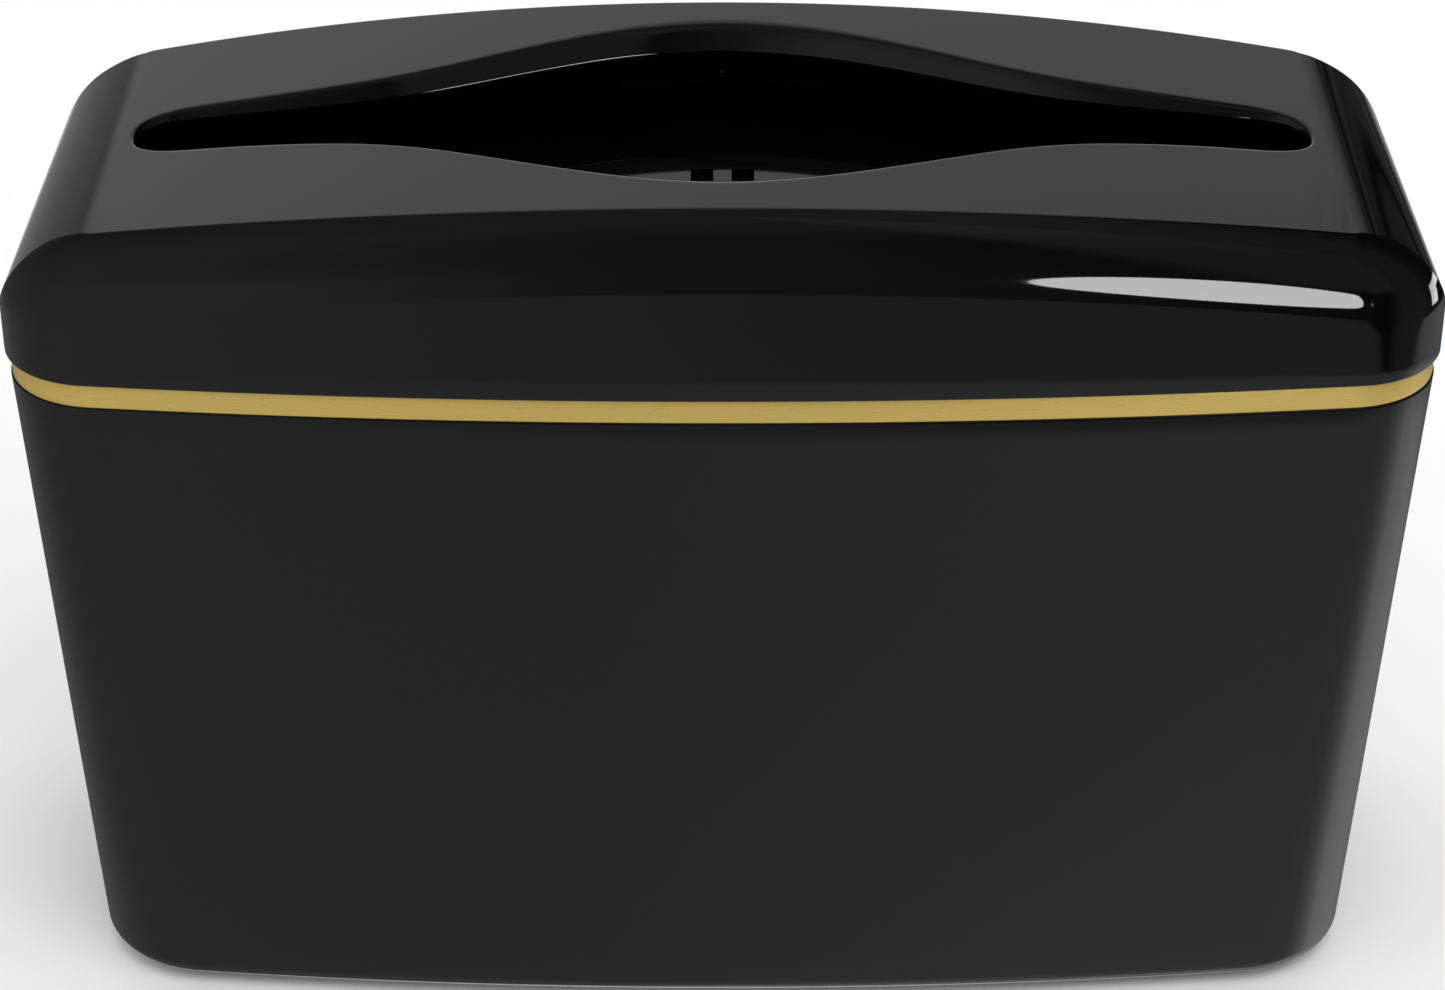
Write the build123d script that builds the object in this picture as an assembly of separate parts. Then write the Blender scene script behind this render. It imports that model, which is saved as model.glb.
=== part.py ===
"""Wide countertop dispenser with a spring-lifted platform under a slotted, arched lid.

Units are mm. The origin is the centre of the footprint on the counter:
X = width, Y = depth (front is -Y), Z = up. Levels ending in _Z are heights above the counter.
"""
from build123d import *
import math
import os

os.makedirs("parts", exist_ok=True)

# ---------------------------------------------------------------- driving dimensions
# Outlines: half width, half depth, bow of the long sides, corner radius
BOTTOM = (137.96, 54.11, 5.87, 25.5)    # tub at its underside
RIM = (144.3, 60.45, 6.2, 20.8)         # tub at its rim
LID = (145.0, 61.15, 6.3, 20.8)         # lid

BASE_Z = 1.5                # tub underside, held up by the feet
WALL = 3.0                  # tub wall
FLOOR = 3.0                 # tub floor
BODY_H = 146.0              # tub height, underside to rim
BAND_H = 5.3                # visible height of the trim band
COLLAR_T = 1.3              # collar wall
COLLAR_H = 14.0             # collar height above the rim
LEDGE = WALL - COLLAR_T     # width of the ledge the band stands on

FLOOR_Z = BASE_Z + FLOOR
RIM_Z = BASE_Z + BODY_H
BAND_TOP_Z = RIM_Z + BAND_H
TOWER_Z = BASE_Z + 174.5    # top of the front and rear centre towers
CROWN_Z = BASE_Z + 189.0    # crown of the lid
PLATE_Z = BASE_Z + 171.4    # platform top, empty and at rest
CUT_Z = BASE_Z + 200.0      # top of the volumes carried up past the tub

# Screws and their holes
PILOT_R = 1.55              # blind holes in the bosses
PILOT_Z = BASE_Z + 1.2      # bottom of the holes in the floor bosses
SHANK_R = 1.5
THROUGH_R = 1.6             # clearance holes
CSK_R = 2.75                # countersunk head
CSK_H = 1.35                # depth of the head's cone
CSK_GAP = 0.06              # clearance round the head
BOSS_R = 4.0
BOSS_SINK = 0.3             # overlap of a boss with the floor

# Places shared by several pieces
SEAT_X, SEAT_Y = 78.0, 24.0     # seat screws
BALLAST_T = 4.0                 # ballast thickness, also the height of the seat bosses
FOOT_X, FOOT_Y = 112.0, 33.0
FOOT_SINK = 1.0                 # depth of the foot recesses
RAIL_X = 129.5                  # running face of the guide rails
GROOVE_X = 133.2                # bottom of the rail groove
RAIL_FOOT_X = 122.0             # rail foot screw
RAIL_BOSS_H = 3.0               # rail foot boss above the floor
WALL_SCREW_Z = BASE_Z + 138.0   # screw through the rail into the end wall
LUG_BOTTOM_Z = BASE_Z + 146.0   # platform lugs that run in the rails
LUG_TOP_Z = BASE_Z + 156.0

SIDES = (-1, 1)
CORNERS = [(sx, sy) for sx in SIDES for sy in SIDES]


# ---------------------------------------------------------------- helpers
def outline(shape, z):
    """Closed outline: arced long sides, straight ends, round corners."""
    half_x, half_y, bow, corner_r = shape
    corner_x = half_x - corner_r
    side_r = (corner_x * corner_x + bow * bow) / (2 * bow)
    side_y = -half_y + side_r           # centre of the front arc
    corner_y = side_y - math.sqrt((side_r - corner_r) ** 2 - corner_x * corner_x)
    reach = math.hypot(corner_x, corner_y - side_y)
    join_x = corner_x / reach * side_r
    join_y = side_y + (corner_y - side_y) / reach * side_r
    angle = (math.atan2(corner_x, side_y - corner_y) + math.pi / 2) / 2
    mid_x = corner_x + corner_r * math.sin(angle)
    mid_y = corner_y - corner_r * math.cos(angle)
    return Wire([
        ThreePointArc((-join_x, join_y, z), (0, -half_y, z), (join_x, join_y, z)),
        ThreePointArc((join_x, join_y, z), (mid_x, mid_y, z), (half_x, corner_y, z)),
        Line((half_x, corner_y, z), (half_x, -corner_y, z)),
        ThreePointArc((half_x, -corner_y, z), (mid_x, -mid_y, z), (join_x, -join_y, z)),
        ThreePointArc((join_x, -join_y, z), (0, half_y, z), (-join_x, -join_y, z)),
        ThreePointArc((-join_x, -join_y, z), (-mid_x, -mid_y, z), (-half_x, -corner_y, z)),
        Line((-half_x, -corner_y, z), (-half_x, corner_y, z)),
        ThreePointArc((-half_x, corner_y, z), (-mid_x, mid_y, z), (-join_x, join_y, z)),
    ])


def resized(shape, grow):
    """Outline dimensions offset outwards by grow."""
    half_x, half_y, bow, corner_r = shape
    return (half_x + grow, half_y + grow, bow, corner_r + grow)


def prism(shape, z0, z1, grow=0.0):
    return Solid.extrude(Face(outline(resized(shape, grow), z0)), Vector(0, 0, z1 - z0))


def block(x0, x1, y0, y1, z0, z1):
    """Box between two X, two Y and two Z values; X and Y pairs may come in either order."""
    x0, x1 = sorted((x0, x1))
    y0, y1 = sorted((y0, y1))
    return Solid.make_box(x1 - x0, y1 - y0, z1 - z0, Plane((x0, y0, z0)))


def rod(x, y, z, radius, length, direction=(0, 0, 1)):
    return Solid.make_cylinder(radius, length, Plane(origin=(x, y, z), z_dir=direction))


def slab(half_x, half_y, corner_r, z0, z1):
    """Rectangular slab with rounded upright edges."""
    box = block(-half_x, half_x, -half_y, half_y, z0, z1)
    upright = [e for e in box.edges() if e.geom_type == GeomType.LINE
               and abs((e @ 0).Z - (e @ 1).Z) > 0.5 * (z1 - z0)]
    return box.fillet(corner_r, upright)


def edges_below(shape, z):
    return [e for e in shape.edges() if e.bounding_box().max.Z < z]


def largest(shape):
    """The largest solid of a boolean result."""
    return max(shape.solids(), key=lambda solid: solid.volume)


def save(shape, name):
    export_step(shape, "parts/" + name + ".step")


def cavity_loft(gap=0.0):
    """Tapered inside of the tub from floor to rim, made smaller all round by gap."""
    wires = []
    for share, z in ((FLOOR / BODY_H, FLOOR_Z), (1.0, RIM_Z)):
        level = [low + (high - low) * share for low, high in zip(BOTTOM, RIM)]
        wires.append(outline(resized(resized(level, -WALL), -gap), z))
    return Solid.make_loft(wires, True)


# ---------------------------------------------------------------- tub
EDGE_R = 4.4                # rounding of the tub's bottom edge
INNER_EDGE_R = 3.0          # fillet round the floor inside
TOWER_HALF_W = 24.0
RIB_T = 1.2                 # centre guide rib thickness
RIB_Y = 50.2                # inner edge of the guide ribs
RIB_END_Y = 60.0
RIB_DROP = 0.4              # rib top below the tower top
RIB_BITE = 0.6              # depth the ribs run into the upper wall
RECESS_R = 6.6              # foot recesses


def with_floor_boss(body, x, y, boss_h, hole_h):
    body = body + rod(x, y, FLOOR_Z - BOSS_SINK, BOSS_R, boss_h + BOSS_SINK)
    return body - rod(x, y, PILOT_Z, PILOT_R, hole_h)


def make_body():
    outer = Solid.make_loft([outline(BOTTOM, BASE_Z), outline(RIM, RIM_Z)], True)
    outer = outer.fillet(EDGE_R, edges_below(outer, BASE_Z + 0.1))
    cavity = cavity_loft()
    above = prism(RIM, RIM_Z - 0.5, CUT_Z, -WALL)       # cavity carried straight up
    # guards the floor fillet: the inner edge stays sharp if it cannot be made
    try:
        cavity = cavity.fillet(INNER_EDGE_R, edges_below(cavity, FLOOR_Z + 0.1))
    except Exception:
        pass

    collar = prism(RIM, RIM_Z - 1.0, RIM_Z + COLLAR_H, -LEDGE)
    tower_zone = block(-TOWER_HALF_W, TOWER_HALF_W, -80, 80, RIM_Z, TOWER_Z)
    towers = prism(RIM, RIM_Z + 1, TOWER_Z, -LEDGE) & tower_zone
    body = outer + collar + towers
    body = largest(body - cavity - above)

    # centre guide ribs, front and rear, vertical inner edge, reaching the sloping wall
    rib_limit = outer + prism(RIM, RIM_Z - 1, CUT_Z, -WALL + RIB_BITE)
    for side in SIDES:
        rib = block(-RIB_T / 2, RIB_T / 2, side * RIB_Y, side * RIB_END_Y,
                    FLOOR_Z - 0.5, TOWER_Z - RIB_DROP)
        body = body + (rib & rib_limit)
    body = largest(body)

    # bosses under the spring seat, and recesses for the feet
    for sx, sy in CORNERS:
        body = with_floor_boss(body, sx * SEAT_X, sy * SEAT_Y, BALLAST_T, FLOOR + BALLAST_T)
        body = body - rod(sx * FOOT_X, sy * FOOT_Y, BASE_Z - 1, RECESS_R, 1 + FOOT_SINK)

    # wall boss and floor boss for each guide rail
    boss_limit = prism(RIM, BASE_Z + 100, BASE_Z + 160, -1.6)
    for side in SIDES:
        outward = (side, 0, 0)
        body = body + (rod(side * 135.25, 0, WALL_SCREW_Z, BOSS_R, 9.0, outward) & boss_limit)
        body = body - rod(side * 134.0, 0, WALL_SCREW_Z, PILOT_R, 8.2, outward)
        body = with_floor_boss(body, side * RAIL_FOOT_X, 0, RAIL_BOSS_H, 10)
    return largest(body)


save(make_body(), "body_shell")

# ---------------------------------------------------------------- trim band
BAND_INSET = 0.3            # band's outer face inside the tub's rim outline
BAND_GAP = 0.05             # clearance round the collar
BAND_CHAMFER = 0.3


def make_band():
    band = prism(RIM, RIM_Z, BAND_TOP_Z, -BAND_INSET)
    band = largest(band - prism(RIM, RIM_Z - 1, BAND_TOP_Z + 1, -LEDGE + BAND_GAP))
    # guards the chamfer: the outer edges stay sharp if it cannot be made
    try:
        inner_zone = prism(RIM, RIM_Z - 2, BAND_TOP_Z + 2, -0.6)
        outer_edges = []
        for edge in band.edges():
            mid = edge @ 0.5
            level = min(abs(mid.Z - RIM_Z), abs(mid.Z - BAND_TOP_Z)) < 0.01
            if abs(mid.Y) > 1 and level:
                if not inner_zone.is_inside(Vector(mid.X, mid.Y, RIM_Z + 1)):
                    outer_edges.append(edge)
        chamfered = band.chamfer(BAND_CHAMFER, None, outer_edges)
        if chamfered.is_valid:
            band = chamfered
    except Exception:
        pass
    return band


save(make_band(), "trim_band")

# ---------------------------------------------------------------- lid
LID_T = 2.1                 # lid wall
ARCH_R = 896.0              # crown radius across the width
SHOULDER_R = 24.0           # shoulder radius at the ends
ROLL_R = 15.67              # inward roll above the vertical wall
CREASE_UP = 1.47            # the roll is tangent to a crown this much higher, leaving a crease
LIP_T = 2.2                 # wall of the lip round the slot
RIM_ROLL_RADII = (2.6, 2.4, 2.0, 1.5)   # slot rim rounding, in order of preference

# Waisted lens slot: distance from the centre along X, half depth in Y
SLOT = [
    (0, 36.6), (8, 36.0), (16, 34.6), (24, 32.4), (32, 29.5),
    (40, 26.2), (48, 22.7), (56, 19.2), (64.5, 16.1), (72.5, 13.9),
    (80.6, 12.35), (88, 11.3), (96, 10.4), (104, 9.7), (110, 9.3),
]
SLOT_END = 120.3            # tip of the slot's rounded end
SLOT_DY = 0.7               # the slot sits a little behind the middle
QUARTER_PULL = 0.5523       # handle length of a cubic quarter curve, as a share of its radius

PAD_HALF_W = 3.0            # locating pads inside the skirt
PAD_X = 84.0                # pads on the long sides
PAD_Y = 22.0                # pads on the ends
PAD_GAP = 0.06              # clearance off the collar


def arch_block(half_x, crown_r, shoulder_r, crown_z, bottom_z, half_y):
    """Arched end profile, with rounded shoulders and vertical ends, carried along Y."""
    shoulder_x = half_x - shoulder_r
    centre_z = crown_z - crown_r
    shoulder_z = centre_z + math.sqrt((crown_r - shoulder_r) ** 2 - shoulder_x * shoulder_x)
    rise = shoulder_z - centre_z
    reach = math.hypot(shoulder_x, rise)
    join_x = shoulder_x / reach * crown_r
    join_z = centre_z + rise / reach * crown_r
    angle = (math.atan2(shoulder_x, rise) + math.pi / 2) / 2
    mid_x = shoulder_x + shoulder_r * math.sin(angle)
    mid_z = shoulder_z + shoulder_r * math.cos(angle)
    y = -half_y
    profile = Wire([
        Line((-half_x, y, bottom_z), (half_x, y, bottom_z)),
        Line((half_x, y, bottom_z), (half_x, y, shoulder_z)),
        ThreePointArc((half_x, y, shoulder_z), (mid_x, y, mid_z), (join_x, y, join_z)),
        ThreePointArc((join_x, y, join_z), (0, y, crown_z), (-join_x, y, join_z)),
        ThreePointArc((-join_x, y, join_z), (-mid_x, y, mid_z), (-half_x, y, shoulder_z)),
        Line((-half_x, y, shoulder_z), (-half_x, y, bottom_z)),
    ])
    return Solid.extrude(Face(profile), Vector(0, 2 * half_y, 0))


def lid_arch(grow, bottom_z):
    """The lid's arch offset outwards by grow."""
    return arch_block(LID[0] + grow, ARCH_R + grow, SHOULDER_R + grow, CROWN_Z + grow,
                      bottom_z, 100)


def lid_form(inset, bottom_z):
    """Lid volume offset inwards: vertical wall, inward roll, crease against the crown."""
    raised = prism(LID, bottom_z, BASE_Z + 215, -inset) & lid_arch(CREASE_UP - inset, bottom_z - 1)
    raised = largest(raised)
    upper = []
    for edge in raised.edges():
        straight = edge.geom_type == GeomType.LINE
        if edge.bounding_box().min.Z <= bottom_z + 0.5:
            continue
        if straight and abs((edge @ 0.5).X) < LID[0] - inset - 1:
            continue
        if not straight or abs((edge @ 0).Z - (edge @ 1).Z) < 30:
            upper.append(edge)
    curved = [e for e in upper if e.geom_type != GeomType.LINE]
    # guards the roll: the curved edges alone are tried if the whole set fails
    rolled = None
    for chosen in (upper, curved):
        try:
            rolled = largest(raised.fillet(ROLL_R - inset, chosen))
            if rolled.is_valid:
                break
        except Exception:
            pass
    return largest(rolled & lid_arch(-inset, bottom_z - 1))


def quarter_curve(start, start_dir, end, end_dir, start_pull, end_pull, z):
    """Cubic curve leaving start along start_dir and reaching end along end_dir."""
    return Bezier(
        (start[0], start[1], z),
        (start[0] + start_dir[0] * start_pull, start[1] + start_dir[1] * start_pull, z),
        (end[0] - end_dir[0] * end_pull, end[1] - end_dir[1] * end_pull, z),
        (end[0], end[1], z))


def slot_face(grow, z):
    """Slot outline grown outwards, as a face at height z."""
    half = []
    last = len(SLOT) - 1
    for i, (x, y) in enumerate(SLOT):
        if i == 0:
            normal_x, normal_y = 0.0, 1.0
        else:
            x0, y0 = SLOT[i - 1]
            x1, y1 = SLOT[min(i + 1, last)]
            chord = math.hypot(x1 - x0, y1 - y0)
            normal_x, normal_y = -(y1 - y0) / chord, (x1 - x0) / chord
        half.append((x + normal_x * grow, y + normal_y * grow))
    full = [(-x, y) for x, y in reversed(half)] + half[1:]
    end_x, end_y = half[-1]
    tip_x = SLOT_END + grow
    run_x, run_y = end_x - half[-2][0], end_y - half[-2][1]
    rear = Spline([(x, y, z) for x, y in full],
                  tangents=[(run_x, -run_y, 0), (run_x, run_y, 0)])
    front = Spline([(-x, -y, z) for x, y in full],
                   tangents=[(-run_x, run_y, 0), (-run_x, -run_y, 0)])
    # rounded ends, each two quarter curves
    length = math.hypot(run_x, run_y)
    dir_x, dir_y = run_x / length, run_y / length
    side_pull = (tip_x - end_x) * QUARTER_PULL
    tip_pull = end_y * QUARTER_PULL
    right_rear = quarter_curve((end_x, end_y), (dir_x, dir_y), (tip_x, 0), (0, -1),
                               side_pull, tip_pull, z)
    right_front = quarter_curve((tip_x, 0), (0, -1), (end_x, -end_y), (-dir_x, dir_y),
                                tip_pull, side_pull, z)
    left_front = quarter_curve((-end_x, -end_y), (-dir_x, -dir_y), (-tip_x, 0), (0, 1),
                               side_pull, tip_pull, z)
    left_rear = quarter_curve((-tip_x, 0), (0, 1), (-end_x, end_y), (dir_x, -dir_y),
                              tip_pull, side_pull, z)
    wire = Wire([rear, right_rear, right_front, front, left_front, left_rear])
    return Pos(0, SLOT_DY, 0) * Face(wire)


def slot_rim_edges(lid):
    """Edges round the slot that lie on the crown surface."""
    found = []
    for edge in lid.edges():
        mid = edge @ 0.5
        if mid.Z > BASE_Z + 178.5 and abs(mid.Y) < 41.5 and abs(mid.X) < 123:
            surface_z = CROWN_Z - (ARCH_R - math.sqrt(ARCH_R ** 2 - mid.X ** 2))
            if abs(mid.Z - surface_z) < 0.25:
                found.append(edge)
    return found


def make_lid():
    outside = lid_form(0.0, BAND_TOP_Z)
    inside = lid_form(LID_T, BAND_TOP_Z - 1)
    # flatter arch that trims the lip's lower edge
    below_lip = arch_block(200.0, 1700.0, 20.0, BASE_Z + 182.9, BASE_Z + 100, 90)
    throat = Solid.extrude(slot_face(0.0, BASE_Z + 150), Vector(0, 0, 60))
    lip = Solid.extrude(slot_face(LIP_T, BASE_Z + 160), Vector(0, 0, 45))
    lid = outside - inside
    lid = lid + ((lip & outside) - below_lip)
    lid = largest(lid - throat)

    # guards the rim rounding: the first radius that gives a valid solid is used
    rim_edges = slot_rim_edges(lid)
    for radius in RIM_ROLL_RADII:
        try:
            rounded = lid.fillet(radius, rim_edges)
            if rounded.is_valid:
                lid = largest(rounded)
                break
        except Exception:
            pass

    # locating pads
    top_z = BASE_Z + 175
    pad_zone = (prism(LID, BAND_TOP_Z, RIM_Z + COLLAR_H - 1.0, -1.0)
                - prism(RIM, BAND_TOP_Z - 1, top_z, -LEDGE + PAD_GAP))
    for x in (-PAD_X, PAD_X):
        for side in SIDES:
            lid = lid + (pad_zone & block(x - PAD_HALF_W, x + PAD_HALF_W,
                                          side * 40, side * 70, BAND_TOP_Z, top_z))
    for side in SIDES:
        for y in (-PAD_Y, PAD_Y):
            lid = lid + (pad_zone & block(side * 130, side * 150,
                                          y - PAD_HALF_W, y + PAD_HALF_W, BAND_TOP_Z, top_z))
    return largest(lid)


save(make_lid(), "lid_shell")

# ---------------------------------------------------------------- ballast plate and spring seat
SEAT_T = 2.5
SEAT_Z = FLOOR_Z + BALLAST_T            # underside of the seat
SEAT_TOP_Z = SEAT_Z + SEAT_T
PLATES_HALF_Y = 33.0                    # half depth of both plates
SEAT_DISC_R = 46.0
SEAT_HOLE_R = 30.0
BOSS_HOLE_R = 4.2                       # ballast holes round the bosses
HOOK_ANGLES = (80, 170, 260, 335)       # hooks over the bottom coil, degrees
HOOK_HALF_W = 4.0
HOOK_H = 4.0


def make_ballast():
    ballast = slab(100, PLATES_HALF_Y, 8, FLOOR_Z, SEAT_Z)
    for sx, sy in CORNERS:
        ballast = ballast - rod(sx * SEAT_X, sy * SEAT_Y, FLOOR_Z - 1, BOSS_HOLE_R, 8)
    return largest(ballast)


def make_seat():
    seat = slab(92, PLATES_HALF_Y, 9, SEAT_Z, SEAT_TOP_Z) + rod(0, 0, SEAT_Z, SEAT_DISC_R, SEAT_T)
    for sx, sy in CORNERS:
        seat = seat - rod(sx * SEAT_X, sy * SEAT_Y, FLOOR_Z - 1, THROUGH_R, 12)
    seat = seat - rod(0, 0, FLOOR_Z, SEAT_HOLE_R, 12)
    top_z = SEAT_TOP_Z + HOOK_H
    for angle in HOOK_ANGLES:
        post = block(41.2, 43.4, -HOOK_HALF_W, HOOK_HALF_W, SEAT_TOP_Z - 0.2, top_z)
        nose = block(39.8, 41.3, -HOOK_HALF_W, HOOK_HALF_W, SEAT_TOP_Z + 2.25, top_z)
        seat = seat + (post + nose).rotate(Axis.Z, angle)
    return largest(seat)


save(make_ballast(), "ballast_plate")
save(make_seat(), "spring_seat")

# ---------------------------------------------------------------- screws
# Each screw points down, with the face it is driven against at Z = 0.
PAN_R = 2.8
PAN_H = 1.9


def cut_cross(screw, half_length, half_width, z0, z1):
    screw = screw - block(-half_length, half_length, -half_width, half_width, z0, z1)
    return largest(screw - block(-half_width, half_width, -half_length, half_length, z0, z1))


def pan_screw(length):
    screw = largest(rod(0, 0, -length, SHANK_R, length + 0.2) + rod(0, 0, 0, PAN_R, PAN_H))
    head_edge = [e for e in screw.edges() if (e @ 0.5).Z > PAN_H - 0.1
                 and abs(math.hypot((e @ 0.5).X, (e @ 0.5).Y) - PAN_R) < 0.05]
    return cut_cross(screw.fillet(0.9, head_edge), 1.6, 0.35, 0.9, 3)


def countersunk_screw(length):
    shank = rod(0, 0, -length, SHANK_R, length - 1.3)
    head = Solid.make_cone(SHANK_R, CSK_R, CSK_H, Plane((0, 0, -CSK_H)))
    return cut_cross(shank + head, 1.4, 0.32, -0.9, 1)


seat_screw = pan_screw(7.6)
save(Compound([Pos(sx * SEAT_X, sy * SEAT_Y, SEAT_TOP_Z) * seat_screw for sx, sy in CORNERS]),
     "seat_screws")

# ---------------------------------------------------------------- guide rails
RAIL_HALF_W = 6.2
GROOVE_HALF_W = 4.0
RELIEF_X = 135.2            # relief behind the groove, round the wall boss
RELIEF_HALF_W = 4.1
RAIL_GAP = 0.03             # clearance from the tub wall
RAIL_FOOT_Z = FLOOR_Z + RAIL_BOSS_H
RAIL_FOOT_TOP_Z = RAIL_FOOT_Z + 2.4


def make_rail():
    """Right-hand rail, shaped to the inside of the tub."""
    room = cavity_loft(RAIL_GAP)
    room = room.fillet(3.2, edges_below(room, FLOOR_Z + 0.1))
    room = room + prism(RIM, RIM_Z - 0.5, CUT_Z, -WALL - RAIL_GAP)
    z0 = FLOOR_Z + 0.02
    z1 = LUG_TOP_Z + 2.6
    rail = block(RAIL_X, 146, -RAIL_HALF_W, RAIL_HALF_W, z0, z1)
    rail = rail - block(RAIL_X - 1, GROOVE_X, -GROOVE_HALF_W, GROOVE_HALF_W,
                        z0 - 1, LUG_TOP_Z + 0.1)
    rail = rail - block(RELIEF_X, 147, -RELIEF_HALF_W, RELIEF_HALF_W, z0 - 1, z1 + 1)
    rail = rail & room
    rail = rail + block(116.5, 134.5, -8.5, 8.5, RAIL_FOOT_Z, RAIL_FOOT_TOP_Z)
    # countersunk holes in the foot and through the groove
    small_r, large_r = SHANK_R + CSK_GAP, CSK_R + CSK_GAP
    rail = rail - rod(RAIL_FOOT_X, 0, BASE_Z, THROUGH_R, 20)
    rail = rail - Solid.make_cone(small_r, large_r, CSK_H,
                                  Plane((RAIL_FOOT_X, 0, RAIL_FOOT_TOP_Z - CSK_H)))
    rail = rail - rod(130, 0, WALL_SCREW_Z, THROUGH_R, 8, (1, 0, 0))
    rail = rail - Solid.make_cone(large_r, small_r, CSK_H,
                                  Plane(origin=(GROOVE_X, 0, WALL_SCREW_Z), z_dir=(1, 0, 0)))
    return largest(rail)


right_rail = make_rail()
save(right_rail, "guide_rail_right")
save(largest(right_rail.rotate(Axis.Z, 180)), "guide_rail_left")

rail_screw = countersunk_screw(7.0)
foot_screw = Pos(RAIL_FOOT_X, 0, RAIL_FOOT_TOP_Z) * rail_screw
wall_screw = Pos(GROOVE_X, 0, WALL_SCREW_Z) * rail_screw.rotate(Axis.Y, -90)
save(Compound([foot_screw, wall_screw,
               foot_screw.rotate(Axis.Z, 180), wall_screw.rotate(Axis.Z, 180)]), "rail_screws")


# ---------------------------------------------------------------- feet
def make_foot():
    foot = rod(0, 0, 0, 6.3, BASE_Z + FOOT_SINK)
    foot = foot.fillet(0.6, [e for e in foot.edges()
                             if (e @ 0.5).Z < 0.01 and e.geom_type == GeomType.CIRCLE])
    return largest(foot)


for sx, sy in CORNERS:
    name = "foot_" + ("front" if sy < 0 else "rear") + "_" + ("left" if sx < 0 else "right")
    save(Pos(sx * FOOT_X, sy * FOOT_Y, 0) * make_foot(), name)

# ---------------------------------------------------------------- lift platform
PLATE_X, PLATE_Y = 124.0, 44.0      # half width and half depth
PLATE_T = 2.4
PLATE_R = 10.0                      # plate corners
SKIRT_T = 2.0
SKIRT_H = 14.0
UNDER_Z = PLATE_Z - PLATE_T
JOIN_Z = UNDER_Z + 0.2              # parts below the plate run this far into it
TONGUE_X, TONGUE_Y = 22.7, 52.0     # front and rear tongues that reach past the plate
GUSSET_X = 18.0
RIB_HALF_T = 0.9                    # gussets and stiffening ribs
STIFF_Z = PLATE_Z - 7.5             # lower edge of the stiffening ribs
LONG_RIBS_Y = (-26, 26)
CROSS_RIBS_X = (-100, -72, -50, 50, 72, 100)
ANCHOR_TOP_Z = UNDER_Z - 2.2        # spring anchor bars
ANCHOR_Z = ANCHOR_TOP_Z - 1.5
LUG_HALF_W = 3.93
LUG_X = 133.1                       # lug tip


def make_platform():
    inner_x = PLATE_X - SKIRT_T
    plate = slab(PLATE_X, PLATE_Y, PLATE_R, UNDER_Z, PLATE_Z)
    skirt = (slab(PLATE_X, PLATE_Y, PLATE_R, PLATE_Z - SKIRT_H, JOIN_Z)
             - slab(inner_x, PLATE_Y - SKIRT_T, PLATE_R - SKIRT_T,
                    PLATE_Z - SKIRT_H - 1, PLATE_Z + 1))
    platform = plate + skirt

    # tongues with gussets below, notched for the tub's centre ribs
    for side in SIDES:
        tongue = block(-TONGUE_X, TONGUE_X, side * (PLATE_Y - 3), side * TONGUE_Y,
                       UNDER_Z, PLATE_Z)
        tongue = tongue.fillet(2.5, [e for e in tongue.edges()
                                     if abs((e @ 0).Z - (e @ 1).Z) > 1
                                     and abs((e @ 0.5).Y) > TONGUE_Y - 1])
        for x in (-GUSSET_X, GUSSET_X):
            tongue = tongue + block(x - RIB_HALF_T, x + RIB_HALF_T, side * (PLATE_Y - 1),
                                    side * 50.5, PLATE_Z - 7.0, JOIN_Z)
        platform = platform + tongue
        platform = platform - block(-2.2, 2.2, side * 48.4, side * 60.0,
                                    PLATE_Z - 10, PLATE_Z + 1)

    # stiffening ribs
    for y in LONG_RIBS_Y:
        platform = platform + block(-PLATE_X + 1, PLATE_X - 1, y - RIB_HALF_T, y + RIB_HALF_T,
                                    STIFF_Z, JOIN_Z)
    for x in CROSS_RIBS_X:
        platform = platform + block(x - RIB_HALF_T, x + RIB_HALF_T, -PLATE_Y + 1, PLATE_Y - 1,
                                    STIFF_Z, JOIN_Z)

    # spring anchor: bars under two windows, carried by a centre block
    for side in SIDES:
        platform = platform - block(side * 1.9, side * 6.6, -4, 4, PLATE_Z - 5, PLATE_Z + 1)
        platform = platform + block(side * 1.0, side * 5.4, -1.5, 1.5, ANCHOR_Z, ANCHOR_TOP_Z)
    platform = platform + block(-1.8, 1.8, -3.2, 3.2, ANCHOR_Z, JOIN_Z)

    # end lugs that run in the rails, each with a neck and a wider root in the skirt
    for side in SIDES:
        for end_x, half_w, top_z in ((LUG_X, LUG_HALF_W, LUG_TOP_Z),
                                     (RAIL_X - 1.0, LUG_HALF_W, PLATE_Z - 1.0),
                                     (PLATE_X, 9.0, PLATE_Z - 1.0)):
            platform = platform + block(side * inner_x, side * end_x, -half_w, half_w,
                                        LUG_BOTTOM_Z, top_z)
    platform = largest(platform)

    # guards the top edge rounding: the edges stay sharp if it cannot be made
    try:
        top_edges = [e for e in platform.edges() if e.bounding_box().min.Z > PLATE_Z - 0.01
                     and (abs((e @ 0.5).Y) > 8 or abs((e @ 0.5).X) > 30)]
        rounded = platform.fillet(0.5, top_edges)
        if rounded.is_valid:
            platform = largest(rounded)
    except Exception:
        pass
    return platform


save(make_platform(), "lift_platform")

# ---------------------------------------------------------------- conical lift spring
WIRE_D = 2.0
BOTTOM_COIL_R = 40.0        # mean radii
TOP_COIL_R = 5.0
BOTTOM_TURNS = 1.0          # closed coils
ACTIVE_TURNS = 7.35
TOP_TURNS = 0.95
STEP_DEG = 20               # spacing of the path points
EASE_IN, EASE_OUT = 0.004, 0.010    # shares of the climb that blend into the closed coils


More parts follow.
